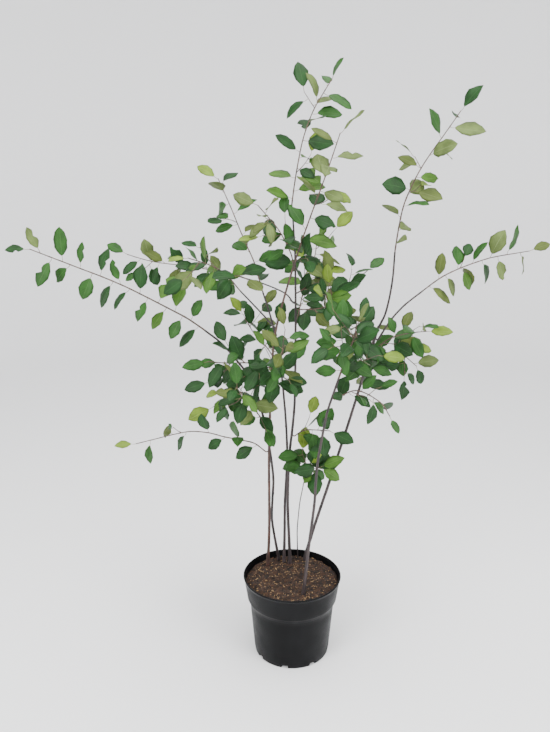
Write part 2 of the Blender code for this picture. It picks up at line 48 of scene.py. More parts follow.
CAMERA_PLACE = (-0.0456, -1.737, 1.288)
CAMERA_PITCH_DEG = 15.71
CAMERA_LENS_MM = 36.0
CAMERA_SENSOR_MM = 36.0
BOWL_FLAT = 3.2
BOWL_BEND = 1.4
BOWL_WALL = 3.6
BOWL_STEPS = 96
BOWL_FLOOR_RINGS = (0.01, 0.5, 1.0, 2.0)
SKY_COLOUR = (0.97, 0.98, 1.0)
SKY_STRENGTH = 0.78


def mesh_object(name, points, faces, materials, smooth=True):
    """An object at the origin whose mesh holds the points and faces as given."""
    mesh = bpy.data.meshes.new(name)
    mesh.from_pydata(points.tolist(), [], faces.tolist())
    for material in materials:
        mesh.materials.append(material)
    if smooth:
        mesh.shade_smooth()
    made = bpy.data.objects.new(name, mesh)
    bpy.context.scene.collection.objects.link(made)
    return made


def grid_faces(rows, columns, wrap=False):
    """Quads of a grid of points numbered row by row. With wrap, the last column joins the first."""
    index = np.arange(rows * columns).reshape(rows, columns)
    if wrap:
        index = np.concatenate([index, index[:, :1]], axis=1)
    a, b = index[:-1, :-1], index[:-1, 1:]
    c, d = index[1:, 1:], index[1:, :-1]
    return np.stack([a, b, c, d], axis=-1).reshape(-1, 4)


def turned_points(radii, heights, steps):
    """A profile turned about Z: each point is (r cos a, r sin a, z) for even steps of the angle a."""
    angle = np.arange(steps) * 2 * math.pi / steps
    r, z = np.asarray(radii)[:, None], np.asarray(heights)[:, None]
    return np.stack([r * np.cos(angle), r * np.sin(angle), z + 0 * angle], axis=-1).reshape(-1, 3)


def plain_material(name, colour, roughness):
    made = bpy.data.materials.new(name)
    made.use_nodes = True
    shader = made.node_tree.nodes["Principled BSDF"]
    shader.inputs["Base Color"].default_value = (*colour, 1.0)
    shader.inputs["Roughness"].default_value = roughness
    return made, made.node_tree, shader


camera_data = bpy.data.cameras.new("camera")
camera_data.lens = CAMERA_LENS_MM
camera_data.sensor_width = CAMERA_SENSOR_MM
camera = bpy.data.objects.new("camera", camera_data)
camera.location = CAMERA_PLACE
camera.rotation_euler = (math.radians(90.0 - CAMERA_PITCH_DEG), 0.0, 0.0)
bpy.context.scene.collection.objects.link(camera)
bpy.context.scene.camera = camera

paper, _, _ = plain_material("studio_paper", (0.90, 0.90, 0.905), 0.9)
turn = np.linspace(0.0, math.pi / 2, 17)
bend_r = BOWL_FLAT + BOWL_BEND * np.sin(turn)
bend_z = BOWL_BEND * (1 - np.cos(turn))
bowl_r = np.concatenate([BOWL_FLOOR_RINGS, bend_r, [BOWL_FLAT + BOWL_BEND]])
bowl_z = np.concatenate([np.zeros(len(BOWL_FLOOR_RINGS)), bend_z, [BOWL_WALL]])
bowl_faces = grid_faces(len(bowl_r), BOWL_STEPS, True)
bowl = mesh_object("studio_bowl", turned_points(bowl_r, bowl_z, BOWL_STEPS), bowl_faces, [paper])


def soft_light(name, place, aim, size, power):
    light = bpy.data.lights.new(name, "AREA")
    light.size = size
    light.energy = power
    made = bpy.data.objects.new(name, light)
    made.location = place
    made.rotation_euler = (Vector(aim) - Vector(place)).to_track_quat("-Z", "Y").to_euler()
    bpy.context.scene.collection.objects.link(made)


soft_light("light_top", (0.2, -0.3, 3.4), (0.0, 0.0, 0.6), 2.6, 138.0)
soft_light("light_front_left", (-2.0, -2.4, 2.3), (0.0, 0.0, 0.8), 1.8, 122.0)
soft_light("light_front_right", (2.2, -2.0, 2.0), (0.0, 0.0, 0.7), 1.8, 85.0)
world = bpy.context.scene.world or bpy.data.worlds.new("studio")
bpy.context.scene.world = world
world.use_nodes = True
world.node_tree.nodes["Background"].inputs["Color"].default_value = (*SKY_COLOUR, 1.0)
world.node_tree.nodes["Background"].inputs["Strength"].default_value = SKY_STRENGTH


# Pot: one moulding of black recycled plastic, thin-walled under a deep collar with a
# turned-over lip. Its lower edge is notched for drainage. It is matte, with a soft sheen.

POT_HEIGHT = 0.222
RIM_RADIUS = 0.130
LIP_STEP = 0.0018
LIP_HEIGHT = 0.004
COLLAR_FOOT_Z = 0.158
COLLAR_FOOT_RADIUS = 0.1190
BODY_TOP_Z = 0.146
BODY_TOP_RADIUS = 0.1125
BASE_RADIUS = 0.0995
BASE_ROUND = 0.004
WALL = 0.0025
SLOT_COUNT = 8
SLOT_WIDTH = 0.017
SLOT_HEIGHT = 0.0085
SLOT_DEPTH = 0.011
SLOT_FIRST_DEG = -102.0
POT_STEPS = 480
OUTER_RINGS = 22
SLOT_TOP_FADE = 0.0006
SLOT_SIDE_FADE = 0.0008
SOIL_TOP = 0.209


def empty_group(name, inputs, outputs):
    """A node group with the sockets named, and the nodes inside it that give and take them."""
    group = bpy.data.node_groups.new(name, "ShaderNodeTree")
    for side, sockets in (("INPUT", inputs), ("OUTPUT", outputs)):
        for socket, kind in sockets:
            group.interface.new_socket(socket, in_out=side, socket_type=kind)
    return group, group.nodes.new("NodeGroupInput").outputs, group.nodes.new("NodeGroupOutput").inputs


def mottle_group():
    """Mottling: a noise on Object coordinates, and two colours mixed by how far the noise has
    come from a low end to a high one."""
    number, colour = "NodeSocketFloat", "NodeSocketColor"
    group, given, taken = empty_group(
        "mottle",
        (("Scale", number), ("Detail", number), ("Stretch", "NodeSocketVector"), ("Low End", number),
         ("High End", number), ("Low Colour", colour), ("High Colour", colour)),
        (("Colour", colour), ("Noise", number)))
    place = group.nodes.new("ShaderNodeTexCoord")
    mapping = group.nodes.new("ShaderNodeMapping")
    noise = group.nodes.new("ShaderNodeTexNoise")
    share = group.nodes.new("ShaderNodeMapRange")
    mix = group.nodes.new("ShaderNodeMix")
    mix.data_type = "RGBA"
    for source, target in (
            (place.outputs["Object"], mapping.inputs["Vector"]),
            (given["Stretch"], mapping.inputs["Scale"]),
            (mapping.outputs["Vector"], noise.inputs["Vector"]),
            (given["Scale"], noise.inputs["Scale"]),
            (given["Detail"], noise.inputs["Detail"]),
            (noise.outputs["Fac"], share.inputs["Value"]),
            (given["Low End"], share.inputs["From Min"]),
            (given["High End"], share.inputs["From Max"]),
            (share.outputs["Result"], mix.inputs["Factor"]),
            (given["Low Colour"], mix.inputs["A"]),
            (given["High Colour"], mix.inputs["B"]),
            (mix.outputs["Result"], taken["Colour"]),
            (noise.outputs["Fac"], taken["Noise"])):
        group.links.new(source, target)
    return group


MOTTLE = mottle_group()


def placed_group(tree, group, **values):
    """The outputs of a group placed in a material. Each value is named for its input socket,
    with an underscore for the space."""
    placed = tree.nodes.new("ShaderNodeGroup")
    placed.node_tree = group
    for name, value in values.items():
        placed.inputs[name.replace("_", " ")].default_value = value
    return placed.outputs


def mottled(tree, scale, low, high, ends=(0.36, 0.66), detail=4.0, stretch=(1.0, 1.0, 1.0)):
    """Mottling placed in a material with its own values."""
    return placed_group(tree, MOTTLE, Scale=scale, Detail=detail, Stretch=stretch,
                        Low_End=ends[0], High_End=ends[1],
                        Low_Colour=(*low, 1.0), High_Colour=(*high, 1.0))


def bump_from(tree, shader, height, distance, strength, invert=False):
    bump = tree.nodes.new("ShaderNodeBump")
    bump.invert = invert
    bump.inputs["Distance"].default_value = distance
    bump.inputs["Strength"].default_value = strength
    tree.links.new(height, bump.inputs["Height"])
    tree.links.new(bump.outputs["Normal"], shader.inputs["Normal"])


black, tree, shader = plain_material("black_plastic", (0.02, 0.021, 0.023), 0.46)
cloudy = mottled(tree, 9.0, (0.0016, 0.0017, 0.0020), (0.0042, 0.0044, 0.0050))
worn = mottled(tree, 26.0, (0.38, 0.38, 0.38), (0.50, 0.50, 0.50))
tree.links.new(cloudy["Colour"], shader.inputs["Base Color"])
tree.links.new(worn["Colour"], shader.inputs["Roughness"])
grain = tree.nodes.new("ShaderNodeTexNoise")
grain.inputs["Scale"].default_value = 900.0
bump_from(tree, shader, grain.outputs["Fac"], 0.0002, 0.35)
shader.inputs["Specular IOR Level"].default_value = 0.10


def arc(r0, z0, r1, z1, bulge, count=5):
    """Points from one corner to the next along a shallow arc, pushed out by the bulge at mid-way."""
    t = np.linspace(0.0, 1.0, count)
    lift = bulge * np.sin(math.pi * t)
    way = np.array([r1 - r0, z1 - z0])
    side = np.array([-way[1], way[0]]) / np.hypot(*way)
    return r0 + t * way[0] + lift * side[0], z0 + t * way[1] + lift * side[1]


under_lip = RIM_RADIUS - LIP_STEP
runs = [
    (np.linspace(0.004, BASE_RADIUS - 0.014, 4), np.zeros(4)),
    (BASE_RADIUS - 0.010 + np.linspace(0, 0.008, 4), np.zeros(4)),
    arc(BASE_RADIUS - 0.0018, 0.0001, BASE_RADIUS + 0.0003, BASE_ROUND, -0.0008),
    (np.linspace(BASE_RADIUS + 0.0006, BASE_RADIUS + 0.0014, 8),
     np.linspace(0.005, SLOT_HEIGHT + 0.0012, 8)),
    (np.linspace(BASE_RADIUS + 0.002, BODY_TOP_RADIUS, 12), np.linspace(0.014, BODY_TOP_Z, 12)),
    arc(BODY_TOP_RADIUS + 0.0006, BODY_TOP_Z + 0.0008, COLLAR_FOOT_RADIUS, COLLAR_FOOT_Z, 0.0004),
    (np.linspace(COLLAR_FOOT_RADIUS + 0.0008, under_lip, 9),
     np.linspace(COLLAR_FOOT_Z + 0.002, POT_HEIGHT - LIP_HEIGHT - 0.0003, 9)),
    arc(under_lip + 0.0006, POT_HEIGHT - LIP_HEIGHT, RIM_RADIUS, POT_HEIGHT - 0.0028, -0.0004, 4),
    arc(RIM_RADIUS, POT_HEIGHT - 0.0020, RIM_RADIUS - 0.0012, POT_HEIGHT, -0.0004),
    arc(RIM_RADIUS - 0.0025, POT_HEIGHT, under_lip - WALL, POT_HEIGHT - 0.0016, -0.0003, 4),
    (np.linspace(under_lip - WALL - 0.0002, COLLAR_FOOT_RADIUS - WALL + 0.004, 6),
     np.linspace(POT_HEIGHT - 0.004, COLLAR_FOOT_Z + 0.020, 6)),
]
profile_r = np.concatenate([r for r, _ in runs])
profile_z = np.concatenate([z for _, z in runs])
pot_points = turned_points(profile_r, profile_z, POT_STEPS).reshape(len(profile_r), POT_STEPS, 3)
angle = np.arange(POT_STEPS) * 2 * math.pi / POT_STEPS
from_slot = (angle - math.radians(SLOT_FIRST_DEG)) % (2 * math.pi / SLOT_COUNT)
from_slot = np.minimum(from_slot, 2 * math.pi / SLOT_COUNT - from_slot) * BASE_RADIUS
outer = np.arange(len(profile_r)) < OUTER_RINGS
low = np.clip((SLOT_HEIGHT - profile_z) / SLOT_TOP_FADE, 0.0, 1.0)
low = low * (profile_r > BASE_RADIUS - 0.012) * outer
notch = low[:, None] * np.clip((SLOT_WIDTH / 2 - from_slot) / SLOT_SIDE_FADE, 0.0, 1.0)[None, :]
scale = 1.0 - notch * (profile_r[:, None] - (BASE_RADIUS - SLOT_DEPTH - 0.0005)) / profile_r[:, None]
pot_points[..., :2] *= scale[..., None]
pot_faces = grid_faces(len(profile_r), POT_STEPS, True)
pot = mesh_object("pot_shell", pot_points.reshape(-1, 3), pot_faces, [black])
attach(pot, "root")
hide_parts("pot")


# Soil: dark bark compost, level in the middle and sunk at the wall, with a lumpy top. Loose
# flakes of bark, from nearly black to tan, lie on it at all angles.

SOIL_REACH = 0.1226
SOIL_RINGS = 60
SOIL_STEPS = 220
SOIL_SINK = 0.0055
SINK_START = 0.105
SINK_WIDTH = 0.02
SOIL_BELOW_SOLID = 0.0012
LUMP_HEIGHT = 0.0016
CRUMB_HEIGHT = 0.0006
FLAKE_COUNT = 1500
FLAKE_REACH = 0.1185
FLAKE_LIFT = 0.0006
FLAKE_LENGTHS = (0.002, 0.0062)
FLAKE_WIDTHS = (0.0008, 0.003)
FLAKE_THICKNESSES = (0.0004, 0.0011)
FLAKE_TILT = 0.25
FLAKE_ROLL = 0.3
FLAKE_CORNERS = (0.6, 1.15)
LONG_FLAKE_CHANCE = 0.15
LONG_FLAKE_FACTOR = 1.8
FLAKE_COLOURS = (
    ("bark_flake_dark", (0.014, 0.008, 0.005)),
    ("bark_flake_brown", (0.062, 0.027, 0.012)),
    ("bark_flake_tan", (0.24, 0.145, 0.065)),
)
FLAKE_SHARES = (0.44, 0.32, 0.24)

soil_rng = np.random.default_rng(41)


def rough(x, y, seed, waves=26, shortest=0.006, longest=0.05):
    """A smooth random surface: a sum of sine waves of seeded direction, length and phase."""
    rng = np.random.default_rng(seed)
    total = np.zeros_like(x)
    for length in np.geomspace(longest, shortest, waves):
        way, phase = rng.uniform(0, 2 * math.pi, 2)
        total += length * np.sin(2 * math.pi * (x * math.cos(way) + y * math.sin(way)) / length + phase)
    return total / (longest * 2)


def soil_height(x, y):
    """Height of the soil: level, less a square-law sink near the wall, plus lumps and crumbs."""
    r = np.hypot(x, y)
    sink = SOIL_SINK * np.clip((r - SINK_START) / SINK_WIDTH, 0, 1) ** 2
    lumps = LUMP_HEIGHT * rough(x, y, 3)
    crumbs = CRUMB_HEIGHT * rough(x, y, 5, 20, 0.003, 0.01)
    return SOIL_TOP - SOIL_BELOW_SOLID - sink + lumps + crumbs


rings = np.linspace(0.001, SOIL_REACH, SOIL_RINGS)
flat = turned_points(rings, rings * 0, SOIL_STEPS)
flat[:, 2] = soil_height(flat[:, 0], flat[:, 1])
earth, tree, shader = plain_material("compost", (0.05, 0.03, 0.018), 0.95)
clumps = mottled(tree, 95.0, (0.006, 0.0032, 0.002), (0.046, 0.021, 0.010), detail=8.0)
tree.links.new(clumps["Colour"], shader.inputs["Base Color"])
bump_from(tree, shader, clumps["Noise"], 0.004, 0.9)
soil = mesh_object("soil_surface", flat, grid_faces(SOIL_RINGS, SOIL_STEPS, True), [earth])
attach(soil, "root")
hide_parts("soil")

# A flake is a box with its length along axis a, its width along b and its thickness along c,
# and each of its eight corners is drawn in or out by a random factor
count = FLAKE_COUNT
spread = FLAKE_REACH * np.sqrt(soil_rng.uniform(0, 1, count))
bearing = soil_rng.uniform(0, 2 * math.pi, count)
centre = np.stack([spread * np.cos(bearing), spread * np.sin(bearing), np.zeros(count)], axis=1)
centre[:, 2] = soil_height(centre[:, 0], centre[:, 1]) + FLAKE_LIFT
way = soil_rng.uniform(0, 2 * math.pi, count)
tip_up = soil_rng.normal(0, FLAKE_TILT, count)
long = soil_rng.uniform(*FLAKE_LENGTHS, count)
long = long * np.where(soil_rng.uniform(0, 1, count) < LONG_FLAKE_CHANCE, LONG_FLAKE_FACTOR, 1.0)
wide = np.minimum(soil_rng.uniform(*FLAKE_WIDTHS, count), long)
thick = soil_rng.uniform(*FLAKE_THICKNESSES, count)
axis_a = np.stack([np.cos(way), np.sin(way), tip_up], axis=1)
axis_b = np.stack([-np.sin(way), np.cos(way), soil_rng.normal(0, FLAKE_ROLL, count)], axis=1)
axis_c = np.cross(axis_a, axis_b)
corners = np.array([(x, y, z) for z in (-1, 1) for y in (-1, 1) for x in (-1, 1)], float)
shape = corners[None] * soil_rng.uniform(*FLAKE_CORNERS, (count, 8, 1)) * 0.5
flake_points = (centre[:, None] + shape[..., :1] * (axis_a * long[:, None])[:, None]
                + shape[..., 1:2] * (axis_b * wide[:, None])[:, None]
                + shape[..., 2:] * (axis_c * thick[:, None])[:, None]).reshape(-1, 3)
cube = np.array([(0, 2, 3, 1), (4, 5, 7, 6), (0, 1, 5, 4), (2, 6, 7, 3), (0, 4, 6, 2), (1, 3, 7, 5)])
flake_faces = (cube[None] + 8 * np.arange(count)[:, None, None]).reshape(-1, 4)
flake_tints = []
for name, colour in FLAKE_COLOURS:
    tint, tree, shader = plain_material(name, colour, 0.9)
    specks = mottled(tree, 300.0, [0.7 * c for c in colour], [1.25 * c for c in colour])
    tree.links.new(specks["Colour"], shader.inputs["Base Color"])
    flake_tints.append(tint)
flakes = mesh_object("soil_flakes", flake_points, flake_faces, flake_tints, smooth=False)
choice = soil_rng.choice(len(FLAKE_COLOURS), count, p=FLAKE_SHARES)
flakes.data.polygons.foreach_set("material_index", np.repeat(choice, len(cube)).astype(np.int32))
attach(flakes, "root")


# Stems and boughs: seven young stems rise from the soil, each a single tapering shoot with
# smooth purple-brown bark. Leaf scars ring them every few centimetres above a low bud.

GAP = 0.0003
CUT_HEIGHT = 0.012
FLARE = 0.35
FLARE_FADE = 0.012
LIMB_SPACING = 0.055
UP = Vector((0.0, 0.0, 1.0))
COLLAR = 0.005

Limb = namedtuple("Limb", "name knots foot_radius tip_radius on", defaults=(None,))

# Each stem stands on the soil at its first knot, and each bough starts on the limb it names
LIMBS = (
    Limb("stem_left", ((-0.065, 0.065), (-0.061, 0.060, 0.34), (-0.061, 0.045, 0.56),
                       (-0.053, 0.020, 0.79), (-0.044, 0.005, 0.885), (-0.024, -0.005, 0.97),
                       (0.003, -0.020, 1.065)), 0.0041, 0.0023),
    Limb("stem_arching", ((-0.036, 0.090), (-0.054, 0.086, 0.34), (-0.050, 0.075, 0.46),
                          (-0.061, 0.070, 0.56), (-0.074, 0.060, 0.635), (-0.087, 0.050, 0.695)),
         0.0036, 0.0031),
    Limb("stem_centre_left", ((-0.020, 0.080), (-0.018, 0.090, 0.40), (-0.013, 0.090, 0.53),
                              (-0.021, 0.092, 0.675), (-0.038, 0.100, 0.82), (-0.061, 0.105, 0.915),
                              (-0.077, 0.110, 0.965)), 0.0040, 0.0022),
    Limb("stem_centre", ((-0.004, 0.074), (-0.011, 0.076, 0.40), (-0.006, 0.073, 0.55),
                         (0.005, 0.070, 0.67), (0.006, 0.060, 0.90), (0.003, 0.055, 1.07),
                         (-0.005, 0.050, 1.18)), 0.0043, 0.0021),
    Limb("stem_front", ((0.029, -0.076), (0.039, -0.080, 0.34), (0.052, -0.092, 0.48),
                        (0.057, -0.102, 0.585), (0.078, -0.125, 0.73), (0.099, -0.140, 0.808)),
         0.0042, 0.0026),
    Limb("stem_right", ((0.039, 0.091), (0.060, 0.095, 0.30), (0.092, 0.095, 0.41), (0.130, 0.095, 0.545),
                        (0.162, 0.095, 0.66), (0.217, 0.095, 0.868)), 0.0043, 0.0033),
    Limb("shoot_young", ((0.018, 0.098), (0.016, 0.088, 0.31), (0.021, 0.070, 0.39), (0.036, 0.040, 0.50)),
         0.0016, 0.0013),
    Limb("bough_far_left", ((-0.104, 0.045, 0.747), (-0.136, 0.035, 0.797), (-0.176, 0.020, 0.850),
                            (-0.217, 0.000, 0.890)), 0.0030, 0.0024, "stem_arching"),
    Limb("bough_left_high", ((-0.068, 0.012, 0.918), (-0.095, 0.000, 0.950), (-0.128, -0.020, 0.990)),
         0.0022, 0.0018, ("stem_left", 0.895)),
    Limb("bough_left_long", ((-0.020, 0.080, 0.966), (-0.075, 0.085, 0.990), (-0.130, 0.110, 1.002)),
         0.0020, 0.0016, ("stem_centre", 0.945)),
    Limb("bough_right_up", ((0.237, 0.095, 0.916), (0.250, 0.098, 0.992), (0.254, 0.100, 1.067)),
         0.0028, 0.0023, "stem_right"),
    Limb("bough_right_long", ((0.250, 0.098, 0.893), (0.285, 0.102, 0.932), (0.330, 0.106, 0.968)),
         0.0026, 0.0021, ("stem_right", 0.845)),
)


def smooth_path(knots, spacing):
    """Points about a spacing apart on the Catmull-Rom curve through the knots."""
    knots = [Vector(k) for k in knots]
    ends = [2 * knots[0] - knots[1], *knots, 2 * knots[-1] - knots[-2]]
    points = [knots[0]]
    for a, b, c, d in zip(ends, ends[1:], ends[2:], ends[3:]):
        pieces = max(1, round((c - b).length / spacing))
        for k in range(1, pieces + 1):
            t = k / pieces
            points.append(0.5 * (2 * b + (c - a) * t + (2 * a - 5 * b + 4 * c - d) * t * t
                                 + (3 * b - a - 3 * c + d) * t ** 3))
    return points


def lengths_along(points):
    total = [0.0]
    for a, b in zip(points, points[1:]):
        total.append(total[-1] + (b - a).length)
    return total


def point_at(points, distance):
    """The point at a distance along a chain of straight pieces, and the direction there."""
    along = lengths_along(points)
    distance = min(max(distance, 0.0), along[-1])
    for k in range(1, len(points)):
        if distance <= along[k] or k == len(points) - 1:
            step = points[k] - points[k - 1]
            share = (distance - along[k - 1]) / step.length
            return points[k - 1] + step * share, step.normalized()


def point_at_height(points, height):
    for a, b in zip(points, points[1:]):
        if a.z <= height <= b.z:
            return a + (b - a) * ((height - a.z) / (b.z - a.z)), (b - a).normalized()
    return points[-1], (points[-1] - points[-2]).normalized()


def tapered(points, first, last):
    """A radius for each point, from first to last in step with the distance along."""
    along = lengths_along(points)
    return [first + (last - first) * s / along[-1] for s in along]


def flared(points, radii):
    """The radii with a root flare that fades away from the first point."""
    along = lengths_along(points)
    return [r * (1.0 + FLARE * math.exp(-s / FLARE_FADE)) for r, s in zip(radii, along)]


def collar_on(on, first_knot, routes):
    """The short straight start of a side limb: a gap past a limb's tip, or beside it at a height."""
    if isinstance(on, str):
        tip = routes[on][0][-1]
        outward = (tip - routes[on][0][-2]).normalized()
        start = tip + outward * GAP
    else:
        name, height = on
        points, radii = routes[name]
        centre, axis = point_at_height(points, height)
        outward = Vector(first_knot) - centre
        outward = (outward - axis * outward.dot(axis)).normalized()
        beside = max(r for p, r in zip(points, radii) if abs(p.z - height) < 2 * LIMB_SPACING)
        start = centre + outward * (beside + GAP)
    return start, start + outward * COLLAR


def limb_route(limb, routes):
    """The points and radii of a limb. One that stands on the soil starts straight up."""
    if limb.on is None:
        x, y = limb.knots[0]
        foot = (x, y, SOIL_TOP + GAP)
        cut = (x, y, SOIL_TOP + CUT_HEIGHT)
        points = [Vector(foot), *smooth_path([cut, *limb.knots[1:]], LIMB_SPACING)]
        return points, flared(points, tapered(points, limb.foot_radius, limb.tip_radius))
    start, collar = collar_on(limb.on, limb.knots[0], routes)
    points = [start, *smooth_path([collar, *limb.knots], LIMB_SPACING)]
    return points, tapered(points, limb.foot_radius, limb.tip_radius)


routes = {}
for limb in LIMBS:
    routes[limb.name] = limb_route(limb, routes)


def fine_path(points, spacing):
    """The same curve again with points closer together, and how far along it each one is."""
    fine = smooth_path(points, spacing)
    along = np.array(lengths_along(fine))
    return np.array(fine), along


def frames_along(points):
    """Two directions square to the path at each point, carried along it without twist."""
    step = np.gradient(points, axis=0)
    step /= np.linalg.norm(step, axis=1, keepdims=True)
    first = np.cross(step[0], (0.31, 0.87, 0.38))
    side = np.empty_like(points)
    side[0] = first / np.linalg.norm(first)
    for k in range(1, len(points)):
        kept = side[k - 1] - step[k] * (side[k - 1] @ step[k])
        side[k] = kept / np.linalg.norm(kept)
    return side, np.cross(step, side)


def tube_points(points, radii, sides):
    """A tube: each ring is the path's point plus r times (cos a, sin a) in its frame. One more
    ring at each end shrinks to a pinhole round the path, so that the ends look shut."""
    side, other = frames_along(points)
    angle = np.arange(sides) * 2 * math.pi / sides
    ring = side[:, None] * np.cos(angle)[None, :, None] + other[:, None] * np.sin(angle)[None, :, None]
    body = points[:, None] + ring * (radii if radii.ndim == 2 else radii[:, None])[..., None]
    first = points[:1, None] + ring[:1] * TUBE_END
    last = points[-1:, None] + ring[-1:] * TUBE_END
    return np.concatenate([first, body, last]).reshape(-1, 3), len(points) + 2


def join_parts(parts):
    """Stacks (points, faces) pairs into one, renumbering the faces."""
    points, faces, start = [], [], 0
    for some, quads in parts:
        points.append(some)
        faces.append(quads + start)
        start += len(some)
    return np.concatenate(points), np.concatenate(faces)


BARK_SEED = 50
BARK_SIDES = 14
SCAR_SPACING = 0.047
SCAR_SWELL = 0.16
SCAR_WIDTH = 0.055
RIDGE_HEIGHT = 0.03
RIDGE_TWIST = 40.0
BARK_ROUGHNESS = 0.02
FINE_SPACING = 0.006
TUBE_END = 0.00005
SPIRAL_DEG = 137.5


def bark_radii(along, radii, sides, seed):
    """Taper times relief: a swelling at each leaf scar, low ridges that run up the stem, and a
    fine seeded roughness, as a table of radius by ring and side."""
    rng = np.random.default_rng(seed)
    angle = np.arange(sides) * 2 * math.pi / sides
    from_scar = (along % SCAR_SPACING) / SCAR_SPACING - 0.5
    side = np.floor(along / SCAR_SPACING) * math.radians(SPIRAL_DEG)
    ring = np.exp(-(from_scar / SCAR_WIDTH) ** 2)
    bud = ring[:, None] * np.clip(np.cos(angle[None] - side[:, None]), 0, 1) ** 2
    ridge = RIDGE_HEIGHT * np.sin(3 * angle[None] + RIDGE_TWIST * along[:, None])
    ridge = ridge + rng.normal(0, BARK_ROUGHNESS, (len(along), sides))
    return radii[:, None] * (1 + SCAR_SWELL * (0.4 * ring[:, None] + bud) + ridge)


def limb_mesh(name, seed):
    points, radii = routes[name]
    coarse = np.array(lengths_along(points))
    fine, along = fine_path(points, FINE_SPACING)
    share = np.interp(along, coarse * along[-1] / coarse[-1], radii)
    table = bark_radii(along, share, BARK_SIDES, seed)
    body, rows = tube_points(fine, table, BARK_SIDES)
    return body, grid_faces(rows, BARK_SIDES, True)


def bark_material(name, dark, light):
    """Young bark: long streaks from a dark to a light brown, and a fine relief."""
    made, tree, shader = plain_material(name, light, 0.62)
    streaks = mottled(tree, 160.0, dark, light, detail=6.0, stretch=(1.0, 1.0, 0.16))
    tree.links.new(streaks["Colour"], shader.inputs["Base Color"])
    bump_from(tree, shader, streaks["Noise"], 0.0006, 0.6)
    return made


bark = bark_material("bark_purple_brown", (0.008, 0.005, 0.006), (0.036, 0.023, 0.023))
red_bark = bark_material("bark_red_brown", (0.022, 0.010, 0.008), (0.085, 0.041, 0.028))
parts = [limb_mesh(limb.name, BARK_SEED + k) for k, limb in enumerate(LIMBS)]
limb_points, limb_faces = join_parts(parts)
limbs = mesh_object("bark_limbs", limb_points, limb_faces, [bark, red_bark])
# The first limb, stem_left, has the redder bark
owner = np.repeat(np.arange(len(parts)), [len(faces) for _, faces in parts])
limbs.data.polygons.foreach_set("material_index", (owner == 0).astype(np.int32))
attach(limbs, "root")
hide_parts(*[limb.name for limb in LIMBS])


# Twigs and leaf stalks: each mass of leaves is one leader with short side shoots of a
# reddish brown. They grow on from the limbs by the rule that the solids follow.

TWIG_SPACING = 0.045
TWIG_TIP_RADIUS = 0.0013
STEM_RADIUS = 0.0020
SHOOT_RADIUS = 0.0017
SHOOT_TIP_RADIUS = 0.0012
TWO_ROWS_DEG = 180.0
PETIOLE = 0.013
LEAF_LENGTH = 0.061
LEAF_WIDTH = 0.53
LEAF_SUNK = 0.0004
LIGHT = Vector((0.0, -0.75, 0.70))
LIGHT_SWING = 30.0
LEAF_ROLL = 24.0
FIRST_SHOOT = 0.12
SHOOT_SPAN = 0.75
SHOOT_SPREAD = (40, 70)
SHOOT_TURN = 40
BARE_FOOT = 0.6
LEAF_SPREAD = (45, 85)
TIP_SPREAD = (5, 30)
LEAF_TURN = 30
LEAF_DROOP = 0.35

Mass = namedtuple("Mass", "name on knots reach gap rows first size shoots")
Shoot = namedtuple("Shoot", "points radii")
Leaf = namedtuple("Leaf", "root along facing length width")

